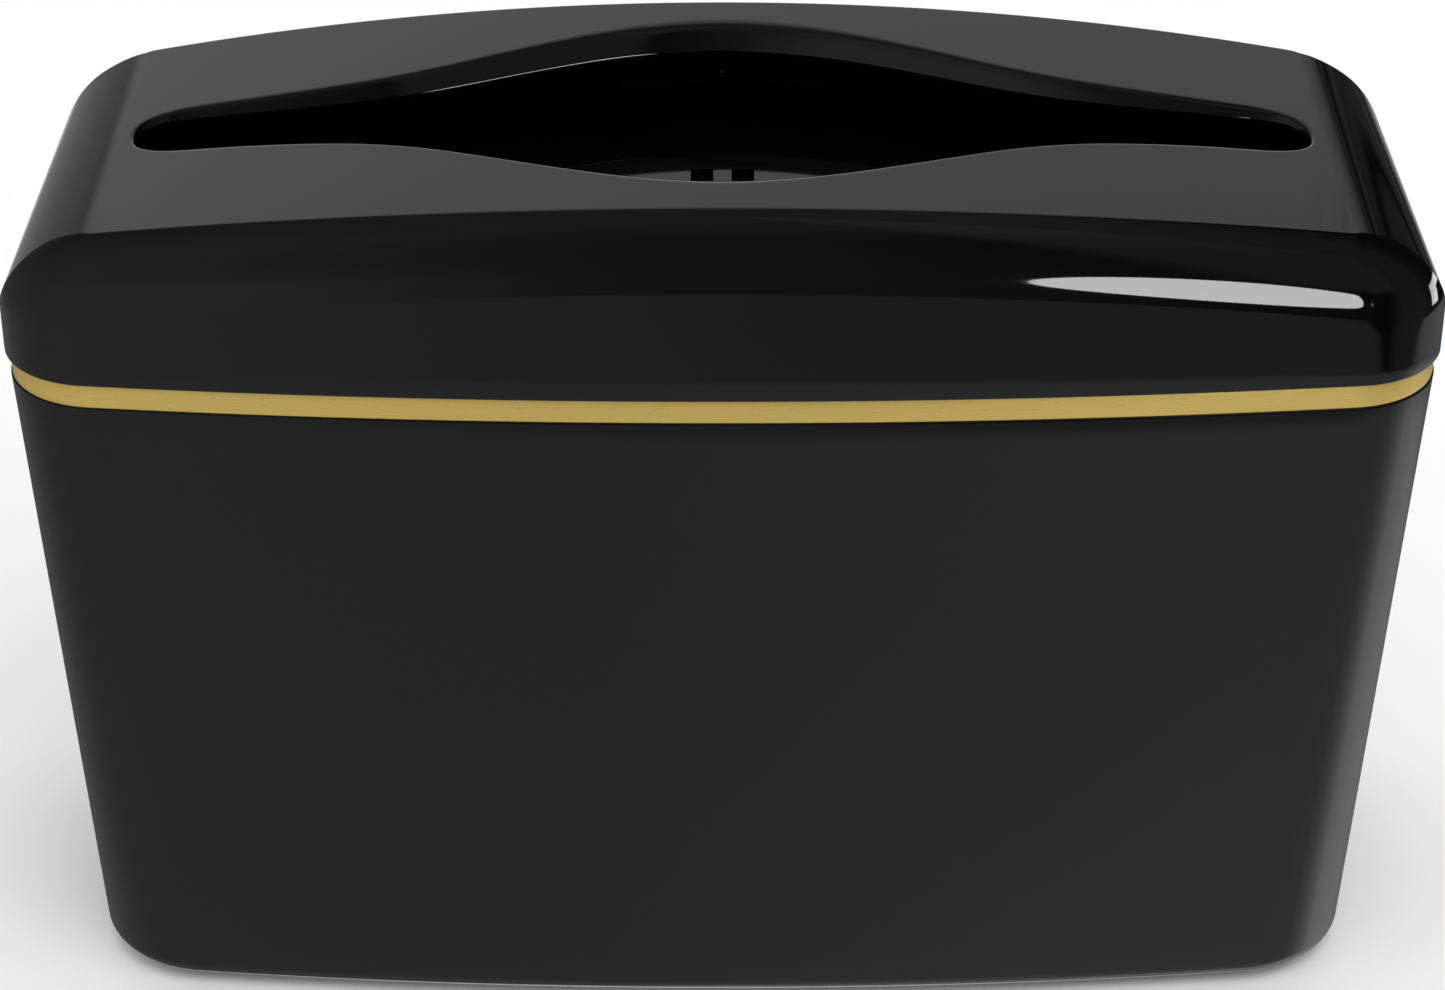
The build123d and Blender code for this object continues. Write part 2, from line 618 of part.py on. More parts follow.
def climb(turn):
    """Share of the climb made after the given turns, eased at both ends."""
    share = min(max((turn - BOTTOM_TURNS) / ACTIVE_TURNS, 0.0), 1.0)
    if share < EASE_IN:
        eased = share * share / (2 * EASE_IN)
    elif share > 1 - EASE_OUT:
        eased = 1 - EASE_IN / 2 - EASE_OUT / 2 - (1 - share) ** 2 / (2 * EASE_OUT)
    else:
        eased = share - EASE_IN / 2
    return eased / (1 - EASE_IN / 2 - EASE_OUT / 2)


def make_spring():
    z0 = SEAT_TOP_Z + WIRE_D / 2 + 0.12
    z1 = UNDER_Z - WIRE_D / 2 - 0.05
    turns = BOTTOM_TURNS + ACTIVE_TURNS + TOP_TURNS
    points = []
    for i in range(int(turns * 360 / STEP_DEG) + 1):
        turn = i * STEP_DEG / 360.0
        share = climb(turn)
        radius = BOTTOM_COIL_R + (TOP_COIL_R - BOTTOM_COIL_R) * share
        angle = math.radians(turn * 360.0)
        points.append((radius * math.cos(angle), radius * math.sin(angle),
                       z0 + (z1 - z0) * share))
    path = Spline(points)
    start = Plane(origin=path @ 0, z_dir=path % 0.0)
    profile = Face(Wire(Edge.make_circle(WIRE_D / 2, start)))
    return largest(sweep(profile, path=Wire(path), is_frenet=True))


save(make_spring(), "lift_spring")
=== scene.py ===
"""An oblong tub with a gold trim band and an arched lid, which has a long lens-shaped slot.

It stands upright on the floor, centred on the origin: x runs along its length, -y is the front and
z is up. Shapes are worked out in millimetres and scaled to metres when they become meshes.
"""
import bpy, bmesh, math
import numpy as np
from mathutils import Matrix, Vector


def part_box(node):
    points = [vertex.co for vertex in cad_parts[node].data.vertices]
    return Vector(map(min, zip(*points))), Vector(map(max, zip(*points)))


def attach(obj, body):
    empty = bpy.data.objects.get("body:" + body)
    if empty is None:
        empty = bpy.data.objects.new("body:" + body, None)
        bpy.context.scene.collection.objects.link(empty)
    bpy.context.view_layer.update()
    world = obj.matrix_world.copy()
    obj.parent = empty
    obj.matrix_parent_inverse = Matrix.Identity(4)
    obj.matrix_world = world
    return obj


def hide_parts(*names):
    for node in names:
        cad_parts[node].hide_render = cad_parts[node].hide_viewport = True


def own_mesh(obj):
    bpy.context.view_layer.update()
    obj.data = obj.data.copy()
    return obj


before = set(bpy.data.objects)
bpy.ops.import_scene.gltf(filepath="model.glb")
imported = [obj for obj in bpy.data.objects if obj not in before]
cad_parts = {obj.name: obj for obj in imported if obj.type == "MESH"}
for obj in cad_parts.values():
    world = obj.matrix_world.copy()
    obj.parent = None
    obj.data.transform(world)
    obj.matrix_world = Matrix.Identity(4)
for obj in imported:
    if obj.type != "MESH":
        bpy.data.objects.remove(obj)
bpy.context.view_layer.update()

MM = 0.001
QUARTER = math.pi / 2

# Heights, measured up from the tub's underside, which is BASE_Z above the floor
BASE_Z = 1.5
BODY_H = 146.0
BAND_H = 5.3
LID_TOP = 189.0
COLLAR_H = 14.0             # collar above the body, inside the band
TOWER_TOP = 174.5           # raised collar at front and rear centre
RIM_Z = BASE_Z + BODY_H
BAND_TOP_Z = RIM_Z + BAND_H

# Plan shapes: half length, half width, bow of the long sides, corner radius
BOTTOM_PLAN = (137.96, 54.11, 5.87, 25.5)
RIM_PLAN = (144.3, 60.45, 6.2, 20.8)
LID_PLAN = (145.0, 61.15, 6.3, 20.8)

WALL = 3.0
LEDGE = 1.7                 # collar set back from the rim
TOWER_W = 24.0              # half width of the raised collar

# Lid: a broad crown arc over the length, with shoulders at both ends and an inward roll all round
CROWN_R = 896.0
SHOULDER_R = 24.0
ROLL_R = 15.67
CREASE_UP = 1.47            # the roll would rise this far above the crown, so they meet in a crease
LID_T = 2.1
LIP_T = 2.2

# Slot in the lid: x from the centre, half width
SLOT = [(0, 36.6), (8, 36.0), (16, 34.6), (24, 32.4), (32, 29.5), (40, 26.2), (48, 22.7),
        (56, 19.2), (64.5, 16.1), (72.5, 13.9), (80.6, 12.35), (88, 11.3), (96, 10.4),
        (104, 9.7), (110, 9.3)]
SLOT_TIP_X = 121.0
SLOT_DY = 0.7               # slot centre behind the lid centre
SLOT_SAMPLES = 900          # points along the measured part of a quarter


# ------------------------------------------------------------------ curves and loops
# A loop is a pair: points in plan and their outward normals.
def unit(vectors):
    return vectors / np.linalg.norm(vectors, axis=1, keepdims=True)


def path_length(points):
    return np.concatenate([[0], np.cumsum(np.hypot(*np.diff(points, axis=0).T))])


def bezier(t, start, pull_start, pull_end, end):
    return ((1 - t) ** 3 * start + 3 * (1 - t) ** 2 * t * pull_start
            + 3 * (1 - t) * t * t * pull_end + t ** 3 * end)


def mirror_round(front_right):
    """Complete a front right quarter by mirroring it to the rear, then to the left."""
    right = np.vstack([front_right, (front_right * [1.0, -1.0])[::-1][1:]])
    return np.vstack([right, (right * [-1.0, 1.0])[::-1][1:-1]])


def offset(loop, distance):
    """Points of a loop moved outward by one distance, or by one for each point."""
    points, normals = loop
    return points + normals * np.reshape(distance, (-1, 1))


def ring(points, z):
    return np.column_stack([points, np.broadcast_to(z, len(points))])


def outline(plan, front=110, corner=34, end=18, grow=0.0):
    """Loop round a plan shape, anticlockwise from front centre.

    front, corner and end are the steps in one quarter.
    """
    half_x, half_y, bow, corner_r = plan
    half_x, half_y, corner_r = half_x + grow, half_y + grow, corner_r + grow
    corner_x = half_x - corner_r
    front_r = (corner_x ** 2 + bow ** 2) / (2 * bow)
    front_y = -half_y + front_r
    corner_y = front_y - math.sqrt((front_r - corner_r) ** 2 - corner_x ** 2)
    meet = math.atan2(corner_x, front_y - corner_y)

    def arc(center, radius, angles):
        normals = np.column_stack([np.sin(angles), -np.cos(angles)])
        return center + radius * normals, normals

    bowed = arc((0.0, front_y), front_r, meet * np.arange(front) / front)
    rounded = arc((corner_x, corner_y), corner_r,
                  meet + (QUARTER - meet) * np.arange(corner) / corner)
    straight_y = corner_y * (1 - np.arange(end + 1) / end)
    straight = (np.column_stack([np.full(end + 1, half_x), straight_y]),
                np.tile([1.0, 0.0], (end + 1, 1)))
    return tuple(mirror_round(np.vstack(parts)) for parts in zip(bowed, rounded, straight))


def cubic_spline(knot_x, knot_y, x):
    """Cubic spline through the knots, flat at the start and natural at the end."""
    count = len(knot_x)
    gap = np.diff(knot_x)
    slope = np.diff(knot_y) / gap
    matrix, target = np.zeros((count, count)), np.zeros(count)
    matrix[0, :2] = 2 * gap[0], gap[0]
    target[0] = 6 * slope[0]
    for i in range(1, count - 1):
        matrix[i, i - 1:i + 2] = gap[i - 1], 2 * (gap[i - 1] + gap[i]), gap[i]
        target[i] = 6 * (slope[i] - slope[i - 1])
    matrix[-1, -1] = 1
    bend = np.linalg.solve(matrix, target)
    k = np.clip(np.searchsorted(knot_x, x) - 1, 0, count - 2)
    after, before = x - knot_x[k], knot_x[k + 1] - x
    return ((bend[k] * before ** 3 + bend[k + 1] * after ** 3) / (6 * gap[k])
            + (knot_y[k] / gap[k] - bend[k] * gap[k] / 6) * before
            + (knot_y[k + 1] / gap[k] - bend[k + 1] * gap[k] / 6) * after)


def slot_quarter():
    """Dense points on the slot's front right quarter, from front centre to the right tip."""
    knot_x, knot_y = np.array(SLOT, float).T
    x = np.linspace(0, knot_x[-1], SLOT_SAMPLES)
    side = np.column_stack([x, -cubic_spline(knot_x, knot_y, x)])
    start, end = side[-1], np.array([SLOT_TIP_X, 0.0])
    heading = side[-1] - side[-2]
    heading = heading / np.hypot(*heading)
    pull_start = start + heading * (end[0] - start[0]) * 0.72
    pull_end = end - np.array([0, 1.0]) * abs(start[1]) * 0.62
    tip = bezier(np.linspace(0, 1, 300)[1:, None], start, pull_start, pull_end, end)
    return np.vstack([side, tip])


def slot_loop(plan_points):
    """The slot as a loop with one point for each point of a lid outline."""
    quarter = slot_quarter()
    along = path_length(quarter)
    share = path_length(plan_points[:len(plan_points) // 4 + 1])
    share = share / share[-1]

    # smoothed map from the share of the outline to the share of the slot
    tip = along[SLOT_SAMPLES] / along[-1]
    share = np.interp(share, (0, 0.25, 0.55, 0.75, 0.88, 1.0),
                      (0, 0.29, 0.64, tip, tip + (1 - tip) * 0.55, 1.0))
    reach = 12
    kernel = np.hanning(2 * reach + 1)
    kernel /= kernel.sum()
    padded = np.concatenate([-share[reach:0:-1], share, 2 - share[-2:-reach - 2:-1]])
    share = np.clip(np.convolve(padded, kernel, "valid"), 0, 1)
    share[0] = 0
    share[-1] = 1

    def sample(columns):
        return np.column_stack([np.interp(share * along[-1], along, c) for c in columns.T])

    tangents = unit(np.gradient(quarter, axis=0))
    normals = np.column_stack([tangents[:, 1], -tangents[:, 0]])
    normals[0] = (0, -1)
    normals[-1] = (1, 0)
    return mirror_round(sample(quarter)) + [0, SLOT_DY], mirror_round(unit(sample(normals)))


# ------------------------------------------------------------------ crown surface
def profile(grow):
    """Crown and right shoulder, grown outward: arc length, x and z from the centre to the end."""
    crown_r, shoulder_r = CROWN_R + grow, SHOULDER_R + grow
    shoulder_x = LID_PLAN[0] + grow - shoulder_r
    crown_z = BASE_Z + LID_TOP - CROWN_R
    shoulder_z = crown_z + math.sqrt((crown_r - shoulder_r) ** 2 - shoulder_x ** 2)
    meet = math.atan2(shoulder_x, shoulder_z - crown_z)
    crown = np.linspace(0, meet, 400)
    shoulder = np.linspace(meet, QUARTER, 1200)[1:]
    along = np.concatenate([crown_r * crown, crown_r * meet + shoulder_r * (shoulder - meet)])
    x = np.concatenate([crown_r * np.sin(crown), shoulder_x + shoulder_r * np.sin(shoulder)])
    z = np.concatenate([crown_z + crown_r * np.cos(crown),
                        shoulder_z + shoulder_r * np.cos(shoulder)])
    return along, x, z


def crown_height(x, drop=0.0):
    _, profile_x, profile_z = profile(-drop)
    return np.interp(np.abs(x), profile_x, profile_z)


def unroll(x, drop=0.0):
    """Signed arc length along the profile at x."""
    along, profile_x, _ = profile(-drop)
    return np.sign(x) * np.interp(np.abs(x), profile_x, along)


def roll_up(length, drop=0.0):
    """x and z at a signed arc length."""
    along, profile_x, profile_z = profile(-drop)
    return (np.sign(length) * np.interp(np.abs(length), along, profile_x),
            np.interp(np.abs(length), along, profile_z))


def crown_rings(start, end, shares, drop=0.0):
    """Rings on the crown between two loops, spaced by arc length so steep shoulders stay true."""
    start_length, end_length = unroll(start[:, 0], drop), unroll(end[:, 0], drop)
    rings = []
    for share in shares:
        x, z = roll_up(start_length + (end_length - start_length) * share, drop)
        y = start[:, 1] + (end[:, 1] - start[:, 1]) * share
        rings.append(np.column_stack([x, y, z]))
    return rings


def crease(loop, drop):
    """Wall top, roll angle and plan points of the crease, on a skin lying drop below the lid."""
    roll_r = ROLL_R - drop
    _, profile_x, profile_z = profile(CREASE_UP - ROLL_R)
    roll_z = np.interp(np.abs(offset(loop, -ROLL_R)[:, 0]), profile_x, profile_z)
    wall = offset(loop, -drop)
    normals = loop[1]

    def above_crown(angle):
        x = wall[:, 0] - normals[:, 0] * roll_r * (1 - np.cos(angle))
        return roll_z + roll_r * np.sin(angle) - crown_height(x, drop)

    low, high = np.zeros(len(wall)), np.full(len(wall), QUARTER)
    on_wall = above_crown(low) >= 0                      # the crown meets the wall with no roll
    for _ in range(50):
        middle = (low + high) / 2
        below = above_crown(middle) < 0
        low, high = np.where(below, middle, low), np.where(below, high, middle)
    angle = np.where(on_wall, 0, (low + high) / 2)
    wall_top = np.where(on_wall, crown_height(wall[:, 0], drop), roll_z)
    return wall_top, angle, offset((wall, normals), -roll_r * (1 - np.cos(angle)))


# ------------------------------------------------------------------ mesh helpers
def add_object(name, data):
    ob = bpy.data.objects.new(name, data)
    bpy.context.scene.collection.objects.link(ob)
    return ob


def grid_mesh(name, rings, caps=()):
    """Quads between successive rings. Two cap points close the ends, or the last joins the first."""
    size, count = len(rings[0]), len(rings)
    around = [(i, (i + 1) % size) for i in range(size)]
    faces = []
    for j in range(count - 1 if caps else count):
        here, beyond = j * size, (j + 1) % count * size
        faces += [(here + i, here + k, beyond + k, beyond + i) for i, k in around]
    if caps:
        first_cap = count * size
        last_ring = first_cap - size
        faces += [(i, first_cap, k) for i, k in around]
        faces += [(last_ring + i, last_ring + k, first_cap + 1) for i, k in around]
    mesh = bpy.data.meshes.new(name)
    mesh.from_pydata((np.vstack([*rings, *caps]) * MM).tolist(), [], faces)
    clean(mesh)
    return add_object(name, mesh)


def clean(mesh):
    """Merge coincident points, face everything outward and shade smooth between sharp edges."""
    bm = bmesh.new()
    bm.from_mesh(mesh)
    bmesh.ops.remove_doubles(bm, verts=bm.verts, dist=1e-7)
    bmesh.ops.dissolve_degenerate(bm, edges=bm.edges, dist=1e-8)
    bmesh.ops.recalc_face_normals(bm, faces=bm.faces)
    if bm.calc_volume() < 0:
        bmesh.ops.reverse_faces(bm, faces=bm.faces)
    bm.to_mesh(mesh)
    bm.free()
    mesh.polygons.foreach_set("use_smooth", [True] * len(mesh.polygons))
    mesh.set_sharp_from_angle(angle=math.radians(28))
    mesh.update()


# ------------------------------------------------------------------ lid
def outer_wall_rings(loop, wall_top, crease_angle, bevel):
    """Rounded lower edge, outer wall and inward roll, ending just short of the crease."""
    edge_r = 0.35
    rings = [ring(offset(loop, -edge_r * (1 - math.sin(t))),
                  BAND_TOP_Z + edge_r * (1 - math.cos(t))) for t in np.linspace(0, QUARTER, 5)]
    start = BAND_TOP_Z + edge_r
    for t in np.linspace(0, 1, 6)[1:]:
        rings.append(ring(loop[0], start + (wall_top - 0.02 - start) * t))
    roll_end = np.maximum(crease_angle - 2 * bevel / ROLL_R, crease_angle * 0.9)
    angles = [roll_end * t for t in np.linspace(0, 1, 20)[1:]]
    angles.append(np.maximum(crease_angle - bevel / ROLL_R, crease_angle * 0.95))
    for angle in angles:
        rings.append(ring(offset(loop, -ROLL_R * (1 - np.cos(angle))),
                          wall_top + ROLL_R * np.sin(angle)))
    return rings


def lip_rings(slot, rim_width):
    """Rim rolling over into the slot, the drafted lip, its lower edge and its back."""
    draft, edge_draft = math.radians(24), math.radians(3)    # easing off just above the edge
    ease_r, edge_r = 3.0, 0.4
    bottom_r, bottom_z = 1700.0, BASE_Z + 182.9              # the lower edge arches over x
    slot_x = slot[0][:, 0]
    top = crown_height(slot_x)
    low = bottom_z - (bottom_r - np.sqrt(bottom_r ** 2 - slot_x ** 2))
    ease_height = ease_r * (math.sin(draft) - math.sin(edge_draft))
    scale = np.minimum(1.0, 0.42 * (top - low) / (edge_r + ease_height))

    def eased(angle):
        """Distance out from the slot and height, where the lip leans by angle."""
        return (scale * (edge_r * (1 - math.cos(edge_draft))
                         + ease_r * (math.cos(edge_draft) - math.cos(angle))),
                low + scale * (edge_r * (1 + math.sin(edge_draft))
                               + ease_r * (math.sin(angle) - math.sin(edge_draft))))

    out, ease_top = eased(draft)
    depth = top - ease_top
    lean = depth * 0.55 * math.tan(draft)
    fullness = np.maximum(0.28 * rim_width, 1.25 * (lean + out))
    fullness = np.minimum(fullness, 0.6 * rim_width)
    rings = []
    for t in np.linspace(0, 1, 30):
        points = offset(slot, bezier(t, rim_width, fullness, lean + out, out))
        fall = depth * bezier(t, 0, 0, 0.45, 1)
        rings.append(ring(points, crown_height(points[:, 0]) * (1 - t) + top * t - fall))
    for angle in np.linspace(draft, edge_draft, 8)[1:]:
        distance, z = eased(angle)
        rings.append(ring(offset(slot, distance), z))

    # round under the edge, then up its back
    edge_r = scale * edge_r
    for angle in np.linspace(edge_draft, -QUARTER, 9)[1:]:
        rings.append(ring(offset(slot, edge_r * (1 - math.cos(angle))),
                          low + edge_r * (1 + math.sin(angle))))
    for angle in np.linspace(-QUARTER, 0, 7):
        rings.append(ring(offset(slot, LIP_T - edge_r * (1 - math.cos(angle))),
                          low + edge_r * (1 + math.sin(angle))))
    back = offset(slot, LIP_T)
    back_low, back_top = low + edge_r, crown_height(back[:, 0], LID_T)
    fillet_r = 0.8
    for t in (0.4, 0.8):
        rings.append(ring(back, back_low + (back_top - fillet_r - back_low) * t))
    for t in np.linspace(0, QUARTER, 5):
        points = offset(slot, LIP_T + fillet_r * (1 - math.cos(t)))
        rings.append(ring(points,
                          crown_height(points[:, 0], LID_T) - fillet_r * (1 - math.sin(t))))
    return rings


def inner_skin_rings(loop, start):
    """Underside of the crown from start, then the inner roll and wall down to the lower edge."""
    wall_top, crease_angle, crease_points = crease(loop, LID_T)
    rings = crown_rings(start, crease_points, np.linspace(0, 1, 30)[1:], LID_T)
    roll_r = ROLL_R - LID_T
    for t in np.linspace(1, 0, 12)[1:]:
        angle = crease_angle * t
        rings.append(ring(offset(loop, -LID_T - roll_r * (1 - np.cos(angle))),
                          wall_top + roll_r * np.sin(angle)))
    wall = offset(loop, -LID_T)
    for t in (0.3, 0.6, 0.9, 1.0):
        rings.append(ring(wall, wall_top + (BAND_TOP_Z - wall_top) * t))
    rings.append(ring(offset(loop, -LID_T * 0.5), BAND_TOP_Z))
    return rings


def build_lid():
    loop = outline(LID_PLAN, front=150, corner=60, end=30)
    slot = slot_loop(loop[0])
    slot_x = slot[0][:, 0]
    wall_top, crease_angle, crease_points = crease(loop, 0.0)
    bevel = 0.22                                         # closely spaced rings beside the crease
    rings = outer_wall_rings(loop, wall_top, crease_angle, bevel)

    # the rim rolls over wider in the middle of the slot and narrower at its tips
    rim_width = (2.7 + 2.7 / (1 + (slot_x / 34.0) ** 2) ** 1.2
                 - 0.9 * np.clip((np.abs(slot_x) - 108) / 10, 0, 1))
    rim = offset(slot, rim_width)
    span = np.hypot(unroll(rim[:, 0]) - unroll(crease_points[:, 0]),
                    rim[:, 1] - crease_points[:, 1])
    near, start = bevel / span, 2 * bevel / span
    shares = [near, start] + [start + (1 - start) * t for t in np.linspace(0, 1, 46)[1:-1]]
    rings += crown_rings(crease_points, rim, shares)

    rings += lip_rings(slot, rim_width)
    rings += inner_skin_rings(loop, rings[-1][:, :2])
    return grid_mesh("lid_shell_skin", rings)


# ------------------------------------------------------------------ tub
def body_loop(z, grow=0.0):
    """Outline of the tapering body at height z above its underside."""
    share = z / BODY_H
    plan = [low + (high - low) * share for low, high in zip(BOTTOM_PLAN, RIM_PLAN)]
    return outline(plan, grow=grow)


def collar_top(points):
    """Collar height along the outline: low all round, raised at front and rear centre."""
    rise = np.clip((TOWER_W + 1.2 - np.abs(points[:, 0])) / 1.6, 0, 1)
    rise = np.where(np.abs(points[:, 1]) > 40, rise * rise * (3 - 2 * rise), 0)
    return RIM_Z + COLLAR_H + (TOWER_TOP - BODY_H - COLLAR_H) * rise


def build_tub():
    foot_r, rim_r, collar_r = 4.4, 0.35, 0.4             # outer edge roundings
    floor_t, fillet_r = 3.0, 3.0
    foot = offset(body_loop(0.0), -foot_r)

    # underside, outer wall and rim
    rings = [ring(foot * t, BASE_Z) for t in np.linspace(0.12, 1, 8)]
    for t in np.linspace(0, QUARTER, 16)[1:]:
        z = foot_r * (1 - math.cos(t))
        rings.append(ring(offset(body_loop(z), -foot_r * (1 - math.sin(t))), BASE_Z + z))
    for z in np.linspace(foot_r, BODY_H - rim_r, 26)[1:]:
        rings.append(ring(body_loop(z)[0], BASE_Z + z))
    rim = body_loop(BODY_H)
    for t in np.linspace(0, QUARTER, 5)[1:]:
        rings.append(ring(offset(rim, -rim_r * (1 - math.cos(t))),
                          RIM_Z - rim_r + rim_r * math.sin(t)))

    # collar: outer face, rounded top, inner face
    outer, _ = outline(RIM_PLAN, grow=-LEDGE)
    inner, _ = outline(RIM_PLAN, grow=-WALL)
    top = collar_top(outer) - collar_r
    for t in (0, 0.25, 0.5, 0.75):
        rings.append(ring(outer, RIM_Z + (top - RIM_Z) * t))
    for t in np.linspace(0, math.pi, 9):
        points = outer + (inner - outer) * ((1 - math.cos(t)) / 2)
        rings.append(ring(points, top + collar_r * math.sin(t)))
    for t in (0.75, 0.5, 0.25):
        rings.append(ring(inner, RIM_Z + (top - RIM_Z) * t))

    # inner wall, fillet and floor
    for z in np.linspace(BODY_H, floor_t + fillet_r, 20):
        rings.append(ring(body_loop(z, grow=-WALL)[0], BASE_Z + z))
    for t in np.linspace(0, QUARTER, 8)[1:]:
        z = floor_t + fillet_r * (1 - math.sin(t))
        points = offset(body_loop(z, grow=-WALL), -fillet_r * (1 - math.cos(t)))
        rings.append(ring(points, BASE_Z + z))
    for t in np.linspace(1, 0.12, 8)[1:]:
        rings.append(ring(points * t, BASE_Z + floor_t))
    return grid_mesh("tub_skin", rings, caps=[(0, 0, BASE_Z), (0, 0, BASE_Z + floor_t)])


def build_band():
    face = outline(RIM_PLAN, grow=-0.3)
    back, _ = outline(RIM_PLAN, grow=-LEDGE + 0.05)
    edge_r = 0.3
    quarter = np.linspace(0, QUARTER, 5)
    rings = [ring(back, RIM_Z)]
    for t in quarter:
        rings.append(ring(offset(face, -edge_r * (1 - math.sin(t))),
                          RIM_Z + edge_r * (1 - math.cos(t))))
    for t in (0.2, 0.4, 0.6, 0.8):
        rings.append(ring(face[0], RIM_Z + edge_r + (BAND_H - 2 * edge_r) * t))
    for t in quarter:
        rings.append(ring(offset(face, -edge_r * (1 - math.cos(t))),
                          BAND_TOP_Z - edge_r + edge_r * math.sin(t)))
    rings.append(ring(back, BAND_TOP_Z))
    return grid_mesh("trim_band_skin", rings)


def build_rib(name, side):
    """Thin upright rib on the centre line, its outer edge sunk in the wall. side -1 is the front."""
    half_t, foot_z, inner_y, sunk = 0.6, 2.8, 50.2, 0.6

    def wall_y(z):
        taper = (RIM_PLAN[1] - BOTTOM_PLAN[1]) * z / BODY_H
        return BOTTOM_PLAN[1] + taper - WALL + sunk

    # y, z round the rib, with a broken corner at the top of its inner edge
    shape = [(inner_y, foot_z), (wall_y(foot_z), foot_z), (wall_y(BODY_H), BODY_H),
             (wall_y(BODY_H), TOWER_TOP - 0.4), (51.0, TOWER_TOP - 0.4),
             (50.45, TOWER_TOP - 0.65), (inner_y, TOWER_TOP - 1.2)]
    bm = bmesh.new()
    left, right = ([bm.verts.new((x * MM, side * y * MM, (BASE_Z + z) * MM)) for y, z in shape]
                   for x in (-half_t, half_t))
    bm.faces.new(left)
    bm.faces.new(right[::-1])
    for i in range(len(left)):
        j = (i + 1) % len(left)
        bm.faces.new((left[j], left[i], right[i], right[j]))
    bmesh.ops.recalc_face_normals(bm, faces=bm.faces)
    mesh = bpy.data.meshes.new(name)
    bm.to_mesh(mesh)
    bm.free()
    rib = add_object(name, mesh)
    bevel = rib.modifiers.new("edge", "BEVEL")
    bevel.width = 0.0002
    bevel.segments = 2
    bevel.limit_method = "ANGLE"
    return rib


def build_spring(bottom, top):
    """Conical coil spring between two heights, with a flat turn at each end."""
    wire_r, bottom_r, top_r = 1.0, 40.0, 5.0
    active_turns, steps, sides = 7.35, 36, 14            # steps per turn, sides of the wire
    ease_in, ease_out = 0.004, 0.010                     # shares of the climb
    low, high = bottom + wire_r, top - wire_r
    full = 1 - ease_in / 2 - ease_out / 2

    def climb(share):
        if share < ease_in:
            return share * share / (2 * ease_in) / full
        if share > 1 - ease_out:
            return (full - (1 - share) ** 2 / (2 * ease_out)) / full
        return (share - ease_in / 2) / full

    path = []
    for i in range(int((1 + active_turns + 0.95) * steps) + 1):
        turn = i / steps
        rise = climb(min(max((turn - 1) / active_turns, 0), 1))
        radius = bottom_r + (top_r - bottom_r) * rise
        angle = turn * 2 * math.pi
        path.append((radius * math.cos(angle), radius * math.sin(angle),
                     low + (high - low) * rise))
    path = np.array(path)
    tangent = unit(np.gradient(path, axis=0))
    radial = unit(path * [1, 1, 0])
    radial = unit(radial - tangent * (radial * tangent).sum(1)[:, None])
    upward = np.cross(tangent, radial)
    angles = np.linspace(0, 2 * math.pi, sides, endpoint=False)
    rings = []
    for i, center in enumerate(path):
        radius = wire_r * (0.8 if i in (0, len(path) - 1) else 1.0)
        rings.append(center + np.outer(np.cos(angles), radial[i]) * radius
                     + np.outer(np.sin(angles), upward[i]) * radius)
    return grid_mesh("lift_spring_wire", rings,
                     caps=[path[0] - tangent[0] * 0.25, path[-1] + tangent[-1] * 0.25])


# ------------------------------------------------------------------ materials
def add_node(tree, kind, inputs={}, **settings):
    """New shader node; each input takes a plain value, a socket or a Value."""
    node = tree.nodes.new("ShaderNode" + kind)
    for key, setting in settings.items():
        setattr(node, key, setting)
    for key, source in inputs.items():
        source = getattr(source, "socket", source)
        if isinstance(source, bpy.types.NodeSocket):
            tree.links.new(source, node.inputs[key])
        else:
            node.inputs[key].default_value = source
    return node


class Surface:
    """A material with one Principled shader, textured in object coordinates."""
    def __init__(self, name):
        self.material = bpy.data.materials.new(name)
        self.material.use_nodes = True
        self.tree = self.material.node_tree
        self.tree.nodes.clear()
        self.shader = self.add("BsdfPrincipled")
        self.add("OutputMaterial", {0: self.shader.outputs[0]})
        self.coords = self.add("TexCoord").outputs["Object"]

    def add(self, kind, inputs={}, **settings):
        return add_node(self.tree, kind, inputs, **settings)

    def link(self, name, socket):
        self.tree.links.new(socket, self.shader.inputs[name])

    def set(self, name, number):
        self.shader.inputs[name].default_value = number

    def noise(self, scale, detail, roughness=0.5, stretch=None):
        coords = self.coords
        if stretch:
            coords = self.add("Mapping", {"Scale": stretch, 0: coords}).outputs[0]
        return self.add("TexNoise", {"Scale": scale, "Detail": detail, "Roughness": roughness,
                                     "Vector": coords}).outputs[0]

    def spread(self, socket, span, to):
        return self.add("MapRange", {"Value": socket, "From Min": span[0], "From Max": span[1],
                                     "To Min": to[0], "To Max": to[1]}).outputs[0]

    def color(self, share, dark, light):
        mixed = self.add("Mix", {0: share, 6: (*dark, 1), 7: (*light, 1)}, data_type="RGBA")
        self.link("Base Color", mixed.outputs[2])

    def bump(self, height, strength, distance):
        self.link("Normal", self.add("Bump", {"Strength": strength, "Distance": distance,
                                              "Height": height}).outputs[0])


def plastic(name, dark, light, roughness, ior=1.46, grain=0.0):
    """Plastic with a fine grain of the given depth in metres, or with soft waves if it is zero."""
    surface = Surface(name)
    cloud = surface.noise(scale=35, detail=4)
    surface.color(cloud, dark, light)
    speckle = surface.noise(scale=900, detail=2, roughness=0.6)
    total = surface.add("Math", {0: surface.spread(cloud, span=(0.3, 0.7), to=roughness),
                                 1: surface.spread(speckle, span=(0.55, 0.8), to=(0.0, 0.03))},
                        operation="ADD")
    surface.link("Roughness", total.outputs[0])
    surface.set("IOR", ior)
    if grain:
        height = surface.noise(scale=1600, detail=3, roughness=0.7)
        surface.bump(height, strength=0.5, distance=grain)
    else:
        height = surface.noise(scale=55, detail=2, roughness=0.4)
        surface.bump(height, strength=0.3, distance=0.00002)
    return surface.material


